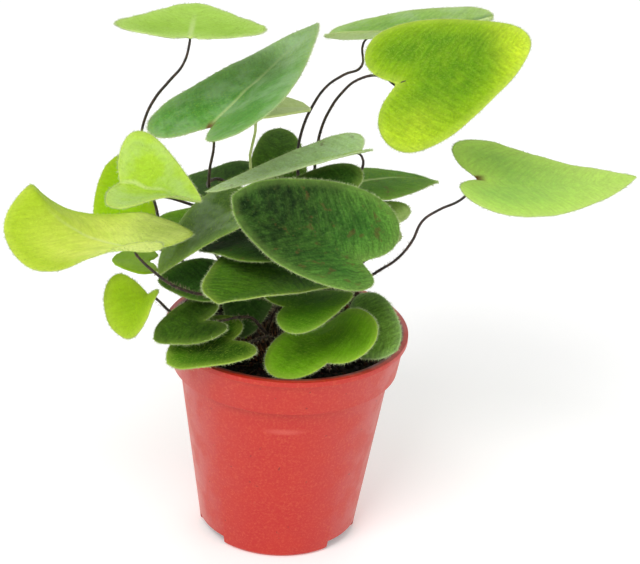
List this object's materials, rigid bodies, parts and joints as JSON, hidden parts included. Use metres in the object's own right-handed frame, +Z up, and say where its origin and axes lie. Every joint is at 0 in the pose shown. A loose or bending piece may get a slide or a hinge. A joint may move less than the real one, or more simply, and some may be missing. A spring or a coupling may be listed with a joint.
{
  "type": "potted heart fern",
  "caption": "Small heart fern with heart-shaped leathery leaves on wiry dark stalks, in a tapered red plastic nursery pot.",
  "frame": {"origin": "middle of the pot's flat underside", "axes": "+Z up, front of the plant towards -Y, +X to the right"},
  "size_m": [0.1358, 0.0768, 0.1233],
  "materials": {
    "pot_plastic": "moulded polypropylene, slightly glossy",
    "soil": "moist peat",
    "rhizome": "scaly",
    "stalk": "bristly, nearly black",
    "leaf_bright": "young leaf, softly hairy",
    "leaf_mid": "leathery leaf",
    "leaf_dark": "old leathery leaf",
    "leaf_grey": "leathery leaf with a greyish bloom"
  },
  "bodies": {
    "root": {"pot": "pot_plastic", "soil": "soil", "rhizome": "rhizome", "blade_high_left": "leaf_bright", "stalk_high_left": "stalk", "blade_tall_left": "leaf_grey", "stalk_tall_left": "stalk", "blade_top_back": "leaf_mid", "stalk_top_back": "stalk", "blade_top_right": "leaf_bright", "stalk_top_right": "stalk", "blade_arrow_right": "leaf_bright", "stalk_arrow_right": "stalk", "blade_far_left": "leaf_bright", "stalk_far_left": "stalk", "blade_left_folded": "leaf_bright", "stalk_left_folded": "stalk", "blade_left_narrow": "leaf_bright", "stalk_left_narrow": "stalk", "blade_low_left_bright": "leaf_bright", "stalk_low_left_bright": "stalk", "blade_front_dark": "leaf_dark", "stalk_front_dark": "stalk", "blade_long_grey": "leaf_grey", "stalk_long_grey": "stalk", "blade_pointed_right": "leaf_mid", "stalk_pointed_right": "stalk", "blade_right_behind": "leaf_dark", "stalk_right_behind": "stalk", "blade_long_diagonal": "leaf_grey", "stalk_long_diagonal": "stalk", "blade_mid_ledge": "leaf_dark", "stalk_mid_ledge": "stalk", "blade_mid_ledge_upper": "leaf_dark", "stalk_mid_ledge_upper": "stalk", "blade_lower_centre": "leaf_mid", "stalk_lower_centre": "stalk", "blade_bottom_centre": "leaf_bright", "stalk_bottom_centre": "stalk", "blade_bottom_right": "leaf_dark", "stalk_bottom_right": "stalk", "blade_low_left_dark": "leaf_mid", "stalk_low_left_dark": "stalk", "blade_rim_left": "leaf_mid", "stalk_rim_left": "stalk", "blade_shaded_front": "leaf_dark", "stalk_shaded_front": "stalk", "blade_upright_back": "leaf_dark", "stalk_upright_back": "stalk", "blade_back_left": "leaf_dark", "stalk_back_left": "stalk", "blade_heart_behind": "leaf_dark", "stalk_heart_behind": "stalk", "blade_inner_left": "leaf_dark", "stalk_inner_left": "stalk", "blade_left_round": "leaf_dark", "stalk_left_round": "stalk", "frond_low_left_young": "leaf_bright", "frond_back_tip": "leaf_bright"}
  },
  "joints": []
}
